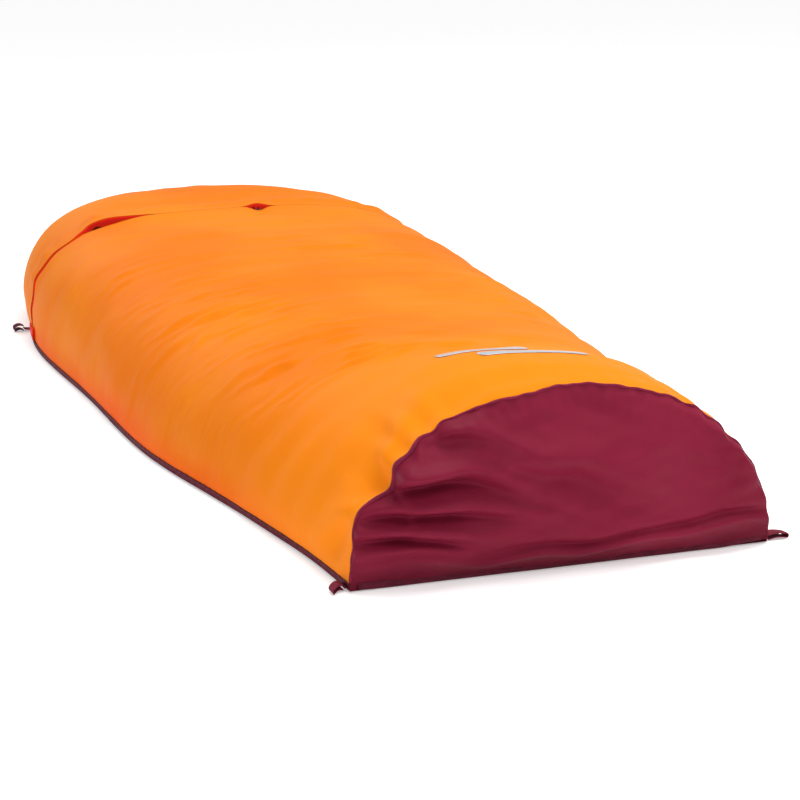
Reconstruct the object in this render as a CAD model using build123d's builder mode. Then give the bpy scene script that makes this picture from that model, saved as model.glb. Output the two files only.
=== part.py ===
from build123d import *
import os
from math import copysign, cos, pi, sin

# Bivy sack: a long soft shell with an upright foot panel, a flat bathtub floor, a canopy and a
# hood that meet at a crosswise mouth, a drawcord in the lip of the hood, and four stake loops.
# X runs across, +Y from the foot to the head, +Z up. The origin is on the ground, under the
# middle of the sack.

# ---- driving dimensions, millimetres ----
LENGTH = 2100.0
HALF = LENGTH / 2
SPARE = 30.0  # length that each shell runs on past the foot before it is trimmed
FLOOR_TRIM = 0.02  # shaved off the underside, which leaves it truly flat

# Sections of the stuffed sack: distance from the foot, half width, height, and the two powers
# that set how square the arch is across and upwards (2 and 2 is an ellipse).
STATIONS = (
    (0, 300, 246, 2.0, 2.3),
    (120, 306, 256, 2.2, 2.2),
    (350, 334, 222, 2.6, 2.2),
    (700, 386, 208, 3.0, 2.4),
    (1100, 394, 222, 3.3, 2.8),
    (1450, 404, 230, 3.4, 3.1),
    (1555, 400, 233, 3.4, 3.1),
    (1660, 388, 236, 3.4, 3.0),
    (1900, 318, 214, 3.3, 2.8),
    (2030, 228, 167, 3.2, 2.7),
    (2080, 150, 128, 3.2, 2.7),
    (2100, 76, 92, 3.2, 2.7),
)
ARCH_STEPS = 24

FABRIC = 2.0  # thickness of every cloth wall
RIM = 12.0  # height of the bathtub edge of the floor
MOUTH_FOOT_SIDE = 485.0  # Y of the canopy's lip
MOUTH_HEAD_SIDE = 505.0  # Y of the hood's lip
LIP_DEPTH = 24.0  # width of each lip's hem
LIP_CLEAR = 4.0  # from the outside of the shell to the outside of the canopy's hem
HOOD_LIP_CLEAR = 8.0  # the same for the hood's hem, which folds back under a narrowing hood
CANOPY_HEM_THICK = 3.0
HOOD_HEM_THICK = 6.0
LIP_FLOOR_GAP = 0.5  # hems stop this far above the rim
CHANNEL_WALL = 1.5
CHANNEL_FRONT = 6.0  # from the front edge of the hood's hem to the cord channel
CHANNEL_WIDE = 4.0
CORD = 2.6
CORD_PLAY = 0.2  # radial room round a cord leg in the grommet
EXIT_PLAY = 1.2  # room beside the two legs where they leave the hem
CORD_BASE_RISE = 6.0  # the cord channel starts this far above the foot of the hem

BEAD = 1.5  # how far a binding stands out
BEAD_GAP = 0.6  # the sack widens under the arch binding by less than this
BEAD_LOW, BEAD_HIGH = 7.0, 12.0
ARCH_BINDING = 9.0
PATCH_LIFT = 0.8
TAPE = 1.0  # thickness of a seam tape
TAPE_GAP = 1.8  # the foot seam's tape lies straight while the sack widens over it
TAPE_WIDE = 22.0
TAPE_HEM_GAP = 30.0  # the floor seam's tape stops this far from each hem

LOCK_ACROSS = 45.0  # X of the two cord legs that run into the lock
LEG_SPACING = 4.0
LOCK_RADIUS = 4.5
LOCK_BORE = 3.2
LOCK_LONG = 20.0
LOCK_BACK = 9.5  # from the closed end of the lock to the cord legs
LOCK_WALL = 1.5
LOCK_Y = MOUTH_HEAD_SIDE - 7.0
LOCK_ROUND = 0.8
LOCK_PLAY = 0.7  # from the cord legs to the closed side of the barrel's slot
LEG_OUT = 2.0  # length of cord showing between the lock and the knot
SLOT_HIGH = 3.4
SLOT_LONG = 8.0
PLUNGER_RADIUS = 3.0
PLUNGER_TRAVEL = 3.0
BUTTON_RADIUS = 4.2
BUTTON_LONG = 3.5
BUTTON_GAP = 0.5  # left between button and barrel when it is pressed
BUTTON_ROUND = 1.0
PLUNGER_PLAY = 0.15
SPRING_LONG = 4.6
SPRING_RADIUS = 2.3
SPRING_WIRE = 0.4  # radius of the wire
SPRING_PLAY = 0.1
SPRING_TURNS = 3
KNOT_RADIUS = 3.0

LOOP_LONG = 34.0
LOOP_HIGH = 8.0
LOOP_WIDE = 20.0
WEBBING = 1.2
TACK_OUT = 2.5
TACK_HIGH = 3.0
TACK_GAP = 0.2  # from the edge binding to a tack
LOOP_GAP = 0.5
FOOT_LOOP_ALONG = 16.0
HEAD_LOOP_ALONG = 1660.0

SIDE = 600.0  # past the sack on either side
ABOVE = 400.0  # past its top

PARTS = "parts"
os.makedirs(PARTS, exist_ok=True)


# ---- shape of the shell ----
def section_outline(half_width, height, across, upwards, inset):
    """Points of one arch, from its right foot over the top to its left foot."""
    wide = half_width - inset
    tall = height - 2 * inset
    points = []
    for step in range(ARCH_STEPS + 1):
        turn = pi * step / ARCH_STEPS
        x = wide * copysign(abs(cos(turn)) ** (2 / across), cos(turn))
        z = inset + tall * max(sin(turn), 0.0) ** (2 / upwards)
        points.append((x, z))
    return points


def interpolate_station(along):
    """Half width, height and powers of the section at a distance from the foot."""
    for near, far in zip(STATIONS, STATIONS[1:]):
        if along <= far[0]:
            share = (along - near[0]) / (far[0] - near[0])
            return [a + (b - a) * share for a, b in zip(near[1:], far[1:])]
    return STATIONS[-1][1:]


def height_at(along, x, inset):
    """Height of the shell, set in by a distance, at one place on the section."""
    half_width, height, across, upwards = interpolate_station(along)
    share = 1 - (abs(x) / (half_width - inset)) ** across
    return inset + (height - 2 * inset) * share ** (1 / upwards)


def half_width_at(along, z):
    """Half width of the outer shell at a height above the ground."""
    half_width, height, across, upwards = interpolate_station(along)
    return half_width * (1 - (z / height) ** upwards) ** (1 / across)


def shell_solid(inset):
    """The whole stuffed sack as one solid, set in by a distance on every side."""
    stations = [(-SPARE, *STATIONS[0][1:])] + list(STATIONS)
    last = len(stations) - 1
    with BuildPart() as body:
        for index, (along, half_width, height, across, upwards) in enumerate(stations):
            y = along - HALF - (inset if index == last else 0)
            outline = section_outline(half_width, height, across, upwards, inset)
            with BuildSketch(Plane.XZ.offset(-y)):
                with BuildLine():
                    Spline(*outline, tangents=[(0, 1), (0, -1)])
                    Line(outline[-1], outline[0])
                make_face()
        loft()
    return body.part


SHELLS = {}


def shell(inset):
    """Each inset is lofted once and kept."""
    if inset not in SHELLS:
        SHELLS[inset] = shell_solid(inset)
    return SHELLS[inset]


def block(low, high, mode):
    """A box between two corners, joined to the sub-part in progress."""
    middle = [(a + b) / 2 for a, b in zip(low, high)]
    with Locations(tuple(middle)):
        Box(*[b - a for a, b in zip(low, high)], mode=mode)


def block_between(low, high):
    """The same box on its own."""
    with BuildPart() as box:
        block(low, high, Mode.ADD)
    return box.part


def skin(outer, inner, low, high):
    """The layer between two insets, kept inside one box."""
    with BuildPart() as layer:
        add(shell(outer))
        block(low, high, Mode.INTERSECT)
        add(shell(inner), mode=Mode.SUBTRACT)
    return layer.part


def arch_ring(along, outer, inner, near, far, base):
    """A straight band that follows the arch of one section, between two insets and two Y values."""
    section = interpolate_station(along)
    with BuildPart() as ring:
        with BuildSketch(Plane.XZ.offset(-far)):
            for inset, mode in ((outer, Mode.ADD), (inner, Mode.SUBTRACT)):
                outline = section_outline(*section, inset)
                with BuildLine():
                    Spline(*outline, tangents=[(0, 1), (0, -1)])
                    Line(outline[-1], outline[0])
                make_face(mode=mode)
        extrude(amount=far - near)
        block((-SIDE, near, -SIDE), (SIDE, far, base), Mode.SUBTRACT)
    return ring.part


def write(name, part):
    part.label = name
    export_step(part, f"{PARTS}/{name}.step")


HEAD_END = HALF + 10.0
FOOT_FACE = -HALF
FOOT_BACK = FOOT_FACE + FABRIC

# ---- cloth panels ----
with BuildPart() as floor_panel:
    add(skin(0, FABRIC, (-SIDE, FOOT_BACK, FLOOR_TRIM), (SIDE, HEAD_END, RIM)))
write("floor_panel", floor_panel.part)

with BuildPart() as foot_panel:
    add(shell(0))
    block((-SIDE, FOOT_FACE, 0), (SIDE, FOOT_BACK, ABOVE), Mode.INTERSECT)
write("foot_panel", foot_panel.part)

with BuildPart() as canopy_panel:
    add(skin(0, FABRIC, (-SIDE, FOOT_BACK, RIM), (SIDE, MOUTH_FOOT_SIDE, ABOVE)))
write("canopy_panel", canopy_panel.part)

with BuildPart() as hood_panel:
    add(skin(0, FABRIC, (-SIDE, MOUTH_HEAD_SIDE, RIM), (SIDE, HEAD_END, ABOVE)))
write("hood_panel", hood_panel.part)

# ---- bindings, tapes and patches ----
# One bead runs along the left edge of the floor, round the head and back along the right edge.
with BuildPart() as floor_edge_binding:
    add(skin(-BEAD, 0, (-SIDE, FOOT_BACK, BEAD_LOW), (SIDE, HEAD_END, BEAD_HIGH)))
write("floor_edge_binding", floor_edge_binding.part)

with BuildPart() as foot_arch_binding:
    binding_back = FOOT_FACE + ARCH_BINDING
    add(arch_ring(0, -BEAD - BEAD_GAP, -BEAD_GAP, FOOT_FACE, binding_back, RIM))
write("foot_arch_binding", foot_arch_binding.part)

# The folded band along the bottom of the foot panel stands on its outer face.
with BuildPart() as foot_floor_binding:
    band_half = half_width_at(0, BEAD_HIGH) - BEAD
    block(
        (-band_half, FOOT_FACE - BEAD, 0), (band_half, FOOT_FACE, BEAD_HIGH), Mode.ADD
    )
    fillet(foot_floor_binding.edges().filter_by(Axis.X).sort_by(Axis.Y)[:2], BEAD / 3)
write("foot_floor_binding", foot_floor_binding.part)

with BuildPart() as floor_seam_tape:
    tape_low = (-SIDE, FOOT_BACK + TAPE_WIDE, RIM)
    tape_high = (SIDE, HEAD_END, RIM + TAPE_WIDE)
    add(skin(FABRIC, FABRIC + TAPE, tape_low, tape_high))
    mouth_low = (-SIDE, MOUTH_FOOT_SIDE - LIP_DEPTH - TAPE_HEM_GAP, 0)
    mouth_high = (SIDE, MOUTH_HEAD_SIDE + LIP_DEPTH + TAPE_HEM_GAP, ABOVE)
    block(mouth_low, mouth_high, Mode.SUBTRACT)
write("floor_seam_tape", floor_seam_tape.part)

with BuildPart() as foot_seam_tape:
    tape_face = FABRIC + TAPE_GAP
    tape_back = FOOT_BACK + TAPE_WIDE
    add(arch_ring(0, tape_face, tape_face + TAPE, FOOT_BACK, tape_back, RIM))
write("foot_seam_tape", foot_seam_tape.part)

# Two plain bars that shine in torchlight, near the foot.
BARS = ((-60.0, 100.0, 150.0, 176.0), (-100.0, 30.0, 196.0, 234.0))
with BuildPart() as reflective_bars:
    for left, right, near, far in BARS:
        bar_low = (left, near - HALF, RIM)
        bar_high = (right, far - HALF, ABOVE)
        add(skin(-PATCH_LIFT, 0, bar_low, bar_high))
write("reflective_bars", reflective_bars.part)

# A reinforcement at each end of the mouth joins canopy and hood just above the floor's edge.
CORNER_HIGH = 34.0
CORNER_REACH = 22.0
with BuildPart() as mouth_corner_patches:
    for side in (-1, 1):
        inner, outer = sorted((side * SIDE, side * SIDE / 2))
        corner_low = (inner, MOUTH_FOOT_SIDE - CORNER_REACH, BEAD_HIGH)
        corner_high = (outer, MOUTH_HEAD_SIDE + CORNER_REACH, CORNER_HIGH)
        add(skin(-BEAD, 0, corner_low, corner_high))
write("mouth_corner_patches", mouth_corner_patches.part)

# A blank care label lies on the floor inside the foot, sewn in at the foot seam.
LABEL_WIDE, LABEL_LONG, LABEL_THICK = 32.0, 46.0, 0.6
with BuildPart() as care_label:
    label_low = (150.0, FOOT_BACK, FABRIC)
    label_high = (150.0 + LABEL_WIDE, FOOT_BACK + LABEL_LONG, FABRIC + LABEL_THICK)
    block(label_low, label_high, Mode.ADD)
write("care_label", care_label.part)

# ---- lips of the mouth ----
LIP_BASE = RIM + LIP_FLOOR_GAP
CANOPY_HEM_BACK = MOUTH_FOOT_SIDE - LIP_DEPTH
HOOD_HEM_BACK = MOUTH_HEAD_SIDE + LIP_DEPTH
HOOD_HEM_INNER = HOOD_LIP_CLEAR + HOOD_HEM_THICK

with BuildPart() as canopy_lip_hem:
    hem_low = (-SIDE, CANOPY_HEM_BACK, LIP_BASE)
    hem_high = (SIDE, MOUTH_FOOT_SIDE, ABOVE)
    add(skin(LIP_CLEAR, LIP_CLEAR + CANOPY_HEM_THICK, hem_low, hem_high))
write("canopy_lip_hem", canopy_lip_hem.part)

CHANNEL_LOW_Y = MOUTH_HEAD_SIDE + CHANNEL_FRONT
CHANNEL_HIGH_Y = CHANNEL_LOW_Y + CHANNEL_WIDE
CORD_LOW_Y = CHANNEL_LOW_Y + (CHANNEL_WIDE - CORD) / 2
CORD_HIGH_Y = CORD_LOW_Y + CORD
CORD_OUTER = HOOD_LIP_CLEAR + (HOOD_HEM_THICK - CORD) / 2
CORD_Z = height_at(HOOD_HEM_BACK + HALF, LOCK_ACROSS, CORD_OUTER + CORD / 2)
EXIT_HALF = LEG_SPACING / 2 + CORD / 2 + EXIT_PLAY
CHANNEL_BASE = LIP_BASE + CORD_BASE_RISE



def hood_ring(outer, inner, near, far, base):
    """A straight band inside the hood, shaped to its section at the back of the hem."""
    return arch_ring(HOOD_HEM_BACK + HALF, outer, inner, near, far, base)


with BuildPart() as hood_lip_hem:
    add(hood_ring(HOOD_LIP_CLEAR, HOOD_HEM_INNER, MOUTH_HEAD_SIDE, HOOD_HEM_BACK, LIP_BASE))
    channel_outer = HOOD_LIP_CLEAR + CHANNEL_WALL
    channel_inner = HOOD_HEM_INNER - CHANNEL_WALL
    channel = hood_ring(channel_outer, channel_inner, CHANNEL_LOW_Y, CHANNEL_HIGH_Y, CHANNEL_BASE)
    add(channel, mode=Mode.SUBTRACT)
    exit_low = (LOCK_ACROSS - EXIT_HALF, MOUTH_HEAD_SIDE - 1, CORD_Z - SLOT_HIGH / 2)
    exit_high = (LOCK_ACROSS + EXIT_HALF, CHANNEL_HIGH_Y, CORD_Z + SLOT_HIGH / 2)
    block(exit_low, exit_high, Mode.SUBTRACT)
write("hood_lip_hem", hood_lip_hem.part)

# ---- drawcord: a left and a right half, each anchored at its mouth corner ----
LEG_FRONT = LOCK_Y - LOCK_RADIUS - LEG_OUT
with BuildPart() as drawcord:
    for side in (-1, 1):
        leg_x = LOCK_ACROSS + side * LEG_SPACING / 2
        cord_inner = CORD_OUTER + CORD
        half = hood_ring(CORD_OUTER, cord_inner, CORD_LOW_Y, CORD_HIGH_Y, CHANNEL_BASE)
        low_x, high_x = sorted((leg_x, side * SIDE))
        add(half & block_between((low_x, CORD_LOW_Y, 0), (high_x, CORD_HIGH_Y, ABOVE)))
        with BuildSketch(Plane.XZ.offset(-CORD_HIGH_Y)):
            with Locations((leg_x, CORD_Z)):
                Circle(CORD / 2)
        extrude(amount=CORD_HIGH_Y - LEG_FRONT)
write("drawcord", drawcord.part)

# The two ends are tied off together in front of the lock.
with BuildPart() as drawcord_knot:
    with Locations((LOCK_ACROSS, LEG_FRONT - KNOT_RADIUS, CORD_Z)):
        Sphere(KNOT_RADIUS)
    knot_low = (LOCK_ACROSS - SIDE, LEG_FRONT - SIDE, 0)
    block(knot_low, (LOCK_ACROSS + SIDE, LEG_FRONT, ABOVE), Mode.INTERSECT)
write("drawcord_knot", drawcord_knot.part)

# A grommet plate keeps the cord exit in the hem from tearing.
GROMMET_THICK = 1.0
GROMMET_HALF_LONG = 8.0
GROMMET_HALF_HIGH = 3.0
with BuildPart() as cord_grommet:
    with BuildSketch(Plane.XZ.offset(-MOUTH_HEAD_SIDE)):
        with Locations((LOCK_ACROSS, CORD_Z)):
            SlotOverall(2 * GROMMET_HALF_LONG, 2 * GROMMET_HALF_HIGH)
        hole_places = [(LOCK_ACROSS + s * LEG_SPACING / 2, CORD_Z) for s in (-1, 1)]
        with Locations(*hole_places):
            Circle(CORD / 2 + CORD_PLAY, mode=Mode.SUBTRACT)
    extrude(amount=GROMMET_THICK)
write("cord_grommet", cord_grommet.part)

# ---- cord lock: barrel, spring and plunger along X ----
LOCK_START = LOCK_ACROSS - LOCK_BACK
LOCK_END = LOCK_START + LOCK_LONG
LEGS_START = LOCK_ACROSS - LEG_SPACING / 2 - CORD / 2
SLOT_START = LEGS_START - LOCK_PLAY
SLOT_END = SLOT_START + SLOT_LONG
PLUNGER_START = LOCK_START + LOCK_WALL + SPRING_LONG
lock_plane = Plane(origin=(LOCK_START, LOCK_Y, CORD_Z), x_dir=(0, 1, 0), z_dir=(1, 0, 0))


def cross_slot(start, end):
    """The hole along Y that both cord legs pass through."""
    low = (start, LOCK_Y - 2 * LOCK_RADIUS, CORD_Z - SLOT_HIGH / 2)
    high = (end, LOCK_Y + 2 * LOCK_RADIUS, CORD_Z + SLOT_HIGH / 2)
    block(low, high, Mode.SUBTRACT)


with BuildPart() as cord_lock_barrel:
    with BuildSketch(lock_plane):
        Circle(LOCK_RADIUS)
    extrude(amount=LOCK_LONG)
    fillet(cord_lock_barrel.edges().filter_by(GeomType.CIRCLE), LOCK_ROUND)
    with BuildSketch(lock_plane.offset(LOCK_WALL)):
        Circle(LOCK_BORE)
    extrude(amount=LOCK_LONG, mode=Mode.SUBTRACT)
    cross_slot(SLOT_START, SLOT_END)
write("cord_lock_barrel", cord_lock_barrel.part)

BUTTON_START = LOCK_END + PLUNGER_TRAVEL + BUTTON_GAP
PLUNGER_SLOT_START = LEGS_START - PLUNGER_PLAY
PLUNGER_SLOT_END = PLUNGER_SLOT_START + LEG_SPACING + CORD + PLUNGER_TRAVEL + 4 * PLUNGER_PLAY
with BuildPart() as cord_lock_plunger:
    with BuildSketch(lock_plane.offset(PLUNGER_START - LOCK_START)):
        Circle(PLUNGER_RADIUS)
    extrude(amount=BUTTON_START - PLUNGER_START)
    with BuildSketch(lock_plane.offset(BUTTON_START - LOCK_START)):
        Circle(BUTTON_RADIUS)
    extrude(amount=BUTTON_LONG)
    fillet(cord_lock_plunger.edges().sort_by(Axis.X)[-1], BUTTON_ROUND)
    cross_slot(PLUNGER_SLOT_START, PLUNGER_SLOT_END)
write("cord_lock_plunger", cord_lock_plunger.part)

SPRING_RUN = SPRING_LONG - 2 * SPRING_WIRE - 2 * SPRING_PLAY
with BuildPart() as cord_lock_spring:
    spring_end = (LOCK_START + LOCK_WALL + SPRING_WIRE + SPRING_PLAY, LOCK_Y, CORD_Z)
    pitch = SPRING_RUN / SPRING_TURNS
    with BuildLine() as coil:
        Helix(pitch, SPRING_RUN, SPRING_RADIUS, center=spring_end, direction=(1, 0, 0))
    with BuildSketch(Plane(origin=coil.line @ 0, z_dir=coil.line % 0)):
        Circle(SPRING_WIRE)
    sweep(is_frenet=True)
write("cord_lock_spring", cord_lock_spring.part)


# ---- stake loops: a folded webbing tab at each corner ----
def edge_of_sack(along):
    return interpolate_station(along)[0]


LOOPS = (
    ("foot_left_stake_loop", -1, FOOT_LOOP_ALONG),
    ("foot_right_stake_loop", 1, FOOT_LOOP_ALONG),
    ("head_left_stake_loop", -1, HEAD_LOOP_ALONG),
    ("head_right_stake_loop", 1, HEAD_LOOP_ALONG),
)

with BuildPart() as stake_loop_tacks:
    for name, side, along in LOOPS:
        edge = edge_of_sack(along) + BEAD + TACK_GAP
        inner, outer = sorted((side * edge, side * (edge + TACK_OUT)))
        y = along - HALF
        tack_z = (LOOP_HIGH - TACK_HIGH) / 2
        tack_low = (inner, y - LOOP_WIDE / 2, tack_z)
        tack_high = (outer, y + LOOP_WIDE / 2, tack_z + TACK_HIGH)
        block(tack_low, tack_high, Mode.ADD)
write("stake_loop_tacks", stake_loop_tacks.part)

for name, side, along in LOOPS:
    near = edge_of_sack(along) + BEAD + TACK_GAP + TACK_OUT + LOOP_GAP
    y = along - HALF
    with BuildPart() as stake_loop:
        with BuildSketch(Plane.XZ.offset(-(y + LOOP_WIDE / 2))):
            with Locations((side * (near + LOOP_LONG / 2), LOOP_HIGH / 2)):
                SlotOverall(LOOP_LONG, LOOP_HIGH)
                SlotOverall(LOOP_LONG - 2 * WEBBING, LOOP_HIGH - 2 * WEBBING, mode=Mode.SUBTRACT)
        extrude(amount=LOOP_WIDE)
    write(name, stake_loop.part)
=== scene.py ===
import math

import bpy
import numpy as np
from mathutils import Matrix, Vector
from mathutils.bvhtree import BVHTree


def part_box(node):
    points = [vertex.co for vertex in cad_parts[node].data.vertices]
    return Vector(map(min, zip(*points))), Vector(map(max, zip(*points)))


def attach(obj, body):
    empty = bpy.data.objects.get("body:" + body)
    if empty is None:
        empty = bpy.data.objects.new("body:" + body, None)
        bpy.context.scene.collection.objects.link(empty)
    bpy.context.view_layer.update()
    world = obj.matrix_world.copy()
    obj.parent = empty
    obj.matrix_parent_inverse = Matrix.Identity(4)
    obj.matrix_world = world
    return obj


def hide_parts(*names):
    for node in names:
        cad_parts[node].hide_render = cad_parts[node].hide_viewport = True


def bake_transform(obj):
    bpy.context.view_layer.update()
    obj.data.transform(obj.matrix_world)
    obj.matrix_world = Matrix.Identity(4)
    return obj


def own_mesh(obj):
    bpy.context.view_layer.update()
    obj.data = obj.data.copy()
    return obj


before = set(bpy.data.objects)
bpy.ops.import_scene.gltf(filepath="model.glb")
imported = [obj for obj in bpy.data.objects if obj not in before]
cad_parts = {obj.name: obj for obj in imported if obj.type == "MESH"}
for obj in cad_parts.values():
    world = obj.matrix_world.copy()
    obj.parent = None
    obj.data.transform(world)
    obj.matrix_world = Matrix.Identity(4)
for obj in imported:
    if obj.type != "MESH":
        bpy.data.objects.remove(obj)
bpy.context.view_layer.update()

# The sack is stuffed and lies along +Y, foot at -Y. Metres throughout.
LENGTH = 2.10
HALF = LENGTH / 2
RIM = 0.012  # the floor's bathtub edge
SEAM_Z = 0.0118  # the panels' lowest edge, just inside the rim
ABOVE_RIM = 0.0138  # inner pieces stay clear of the rim
BINDING_Z = 0.0098

# Sections of the stuffed sack, as in the CAD model: distance from the foot, half width, height,
# and the powers that make the arch square across and upwards.
STATIONS = np.array(
    (
        (0.00, 0.300, 0.246, 2.0, 2.3),
        (0.12, 0.306, 0.256, 2.2, 2.2),
        (0.35, 0.334, 0.222, 2.6, 2.2),
        (0.70, 0.386, 0.208, 3.0, 2.4),
        (1.10, 0.394, 0.222, 3.3, 2.8),
        (1.45, 0.404, 0.230, 3.4, 3.1),
        (1.555, 0.400, 0.233, 3.4, 3.1),
        (1.66, 0.388, 0.236, 3.4, 3.0),
        (1.90, 0.318, 0.214, 3.3, 2.8),
        (2.03, 0.228, 0.167, 3.2, 2.7),
        (2.08, 0.150, 0.128, 3.2, 2.7),
        (2.10, 0.076, 0.092, 3.2, 2.7),
    )
)

CANOPY_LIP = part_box("canopy_panel")[1].y + HALF  # distance of each lip from the foot
HOOD_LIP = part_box("hood_panel")[0].y + HALF
LOCK_X = sum(c.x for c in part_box("cord_grommet")) / 2


# ---- shape of the shell ----
def profile(along):
    """Half width, height and powers at a distance from the foot, on a smooth curve."""
    knots, values = STATIONS[:, 0], STATIONS[:, 1:]
    slopes = np.gradient(values, knots, axis=0)
    i = int(np.clip(np.searchsorted(knots, along) - 1, 0, len(knots) - 2))
    span = knots[i + 1] - knots[i]
    u = min(max((along - knots[i]) / span, 0.0), 1.0)
    a = (1 + 2 * u) * (1 - u) ** 2
    b = u * (1 - u) ** 2 * span
    c = u * u * (3 - 2 * u)
    d = u * u * (u - 1) * span
    return a * values[i] + b * slopes[i] + c * values[i + 1] + d * slopes[i + 1]


def drawn_in(along, z):
    """The sack's base is drawn in a little where the mouth pulls on it."""
    return 1 - 0.030 * bump(along, 1.68, 0.13) * smooth_step(z, 0.085, 0.0)


def arch(along, columns, low=RIM, inset=0.0):
    """Evenly spaced points over one section, from the right edge to the left edge."""
    half_width, height, across, upwards = profile(along)
    wide, tall = half_width - inset, height - inset
    turn = np.linspace(0, math.pi, 721)
    x = wide * np.sign(np.cos(turn)) * np.abs(np.cos(turn)) ** (2 / across)
    z = tall * np.maximum(np.sin(turn), 0) ** (2 / upwards)
    right_x = wide * (1 - (low / tall) ** upwards) ** (1 / across)
    keep = z > low
    x = np.concatenate(([right_x], x[keep], [-right_x]))
    z = np.concatenate(([low], z[keep], [low]))
    x *= drawn_in(along, z)
    run = np.concatenate(([0], np.cumsum(np.hypot(np.diff(x), np.diff(z)))))
    even = np.linspace(0, run[-1], columns)
    xs, zs = np.interp(even, run, x), np.interp(even, run, z)
    return np.stack([xs, np.full(columns, along - HALF), zs], -1)


def shell_grid(alongs, columns, low=RIM, inset=0.0):
    return np.stack([arch(a, columns, low, inset) for a in alongs])


def smooth_step(x, low, high):
    """Nought at low, one at high, eased at both ends."""
    u = np.clip((x - low) / (high - low), 0, 1)
    return u * u * (3 - 2 * u)


def bump(x, centre, width):
    """One at the centre, fading to nought over a few widths."""
    return np.exp(-(((x - centre) / width) ** 2))


def waves(points, scale, seed, stretch=(1, 1, 1)):
    """Smooth noise from a few random plane waves, about -1 to 1."""
    rng = np.random.default_rng(seed)
    p = points * np.array(stretch)
    total = np.zeros(p.shape[:-1])
    for _ in range(9):
        direction = rng.normal(size=3)
        direction /= np.linalg.norm(direction)
        length = scale * rng.uniform(0.6, 1.7)
        total += np.sin(p @ direction * 2 * math.pi / length + rng.uniform(0, 6.3))
    return total / 3.5


# ---- mesh helpers ----
def make_object(name, vertices, faces, material):
    mesh = bpy.data.meshes.new(name)
    mesh.from_pydata([tuple(v) for v in vertices], [], faces)
    mesh.validate()
    mesh.update()
    mesh.polygons.foreach_set("use_smooth", [True] * len(mesh.polygons))
    mesh.materials.append(material)
    piece = bpy.data.objects.new(name, mesh)
    bpy.context.scene.collection.objects.link(piece)
    return piece


def grid_faces(rows, columns, wrap_rows=False, wrap_columns=False):
    faces = []
    for i in range(rows if wrap_rows else rows - 1):
        for j in range(columns if wrap_columns else columns - 1):
            a, b = i * columns + j, i * columns + (j + 1) % columns
            k = (i + 1) % rows
            c, d = k * columns + (j + 1) % columns, k * columns + j
            faces.append((a, b, c, d))
    return faces


def make_sheet(name, grid, material):
    """A sheet over a grid of points, shaped rows by columns by three."""
    return make_object(name, grid.reshape(-1, 3), grid_faces(*grid.shape[:2]), material)


def positions(piece):
    co = np.zeros(len(piece.data.vertices) * 3)
    piece.data.vertices.foreach_get("co", co)
    return co.reshape(-1, 3)


def set_positions(piece, co):
    piece.data.vertices.foreach_set("co", np.asarray(co, float).ravel())
    piece.data.update()


def apply_modifiers(piece):
    graph = bpy.context.evaluated_depsgraph_get()
    graph.update()
    mesh = bpy.data.meshes.new_from_object(piece.evaluated_get(graph))
    piece.modifiers.clear()
    if piece.data.shape_keys:
        piece.shape_key_clear()
    old = piece.data
    piece.data = mesh
    mesh.name = piece.name
    bpy.data.meshes.remove(old)
    mesh.polygons.foreach_set("use_smooth", [True] * len(mesh.polygons))


def subdivide(piece, levels=1):
    modifier = piece.modifiers.new("smooth", "SUBSURF")
    modifier.levels = modifier.render_levels = levels
    modifier.boundary_smooth = "PRESERVE_CORNERS"
    apply_modifiers(piece)


def thicken(piece, thickness, offset=-1.0):
    modifier = piece.modifiers.new("cloth_thickness", "SOLIDIFY")
    modifier.thickness = thickness
    modifier.offset = offset
    apply_modifiers(piece)


def settle(piece, hold, spare, pressure, frames, cap, bending=0.4):
    """Cloth simulation: the cloth is cut larger than its place by spare (x, y, z) and settles.

    hold is how firmly each point keeps its place (1 is sewn down); no point moves past cap.
    """
    start = positions(piece)
    piece.shape_key_add(name="Basis")
    cut = piece.shape_key_add(name="cut")
    cut_co = start * (1 + np.array(spare))
    cut.data.foreach_set("co", cut_co.ravel())
    group = piece.vertex_groups.new(name="hold")
    for level in np.unique(np.round(hold, 2)):
        group.add(np.nonzero(np.round(hold, 2) == level)[0].tolist(), float(level), "REPLACE")
    modifier = piece.modifiers.new("cloth", "CLOTH")
    cloth = modifier.settings
    cloth.quality = 7
    cloth.mass = 0.12
    cloth.air_damping = 3.0
    for name, stiffness, damping in (
        ("tension", 25, 12), ("compression", 25, 12), ("shear", 8, 8), ("bending", bending, 1.0)
    ):
        setattr(cloth, f"{name}_stiffness", stiffness)
        setattr(cloth, f"{name}_damping", damping)
    cloth.vertex_group_mass = "hold"
    cloth.pin_stiffness = 1.0
    cloth.rest_shape_key = cut
    cloth.use_pressure = pressure != 0
    cloth.uniform_pressure_force = pressure
    cloth.effector_weights.gravity = 0
    modifier.collision_settings.use_collision = False
    modifier.collision_settings.use_self_collision = False
    modifier.point_cache.frame_start = 1
    modifier.point_cache.frame_end = frames
    scene = bpy.context.scene
    for number in range(1, frames + 1):
        scene.frame_set(number)
    apply_modifiers(piece)
    piece.vertex_groups.clear()
    moved = positions(piece) - start
    far = np.linalg.norm(moved, axis=1, keepdims=True)
    limit = np.minimum(1.0, cap * np.tanh(far / cap) / np.maximum(far, 1e-9))
    set_positions(piece, start + moved * limit)


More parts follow.
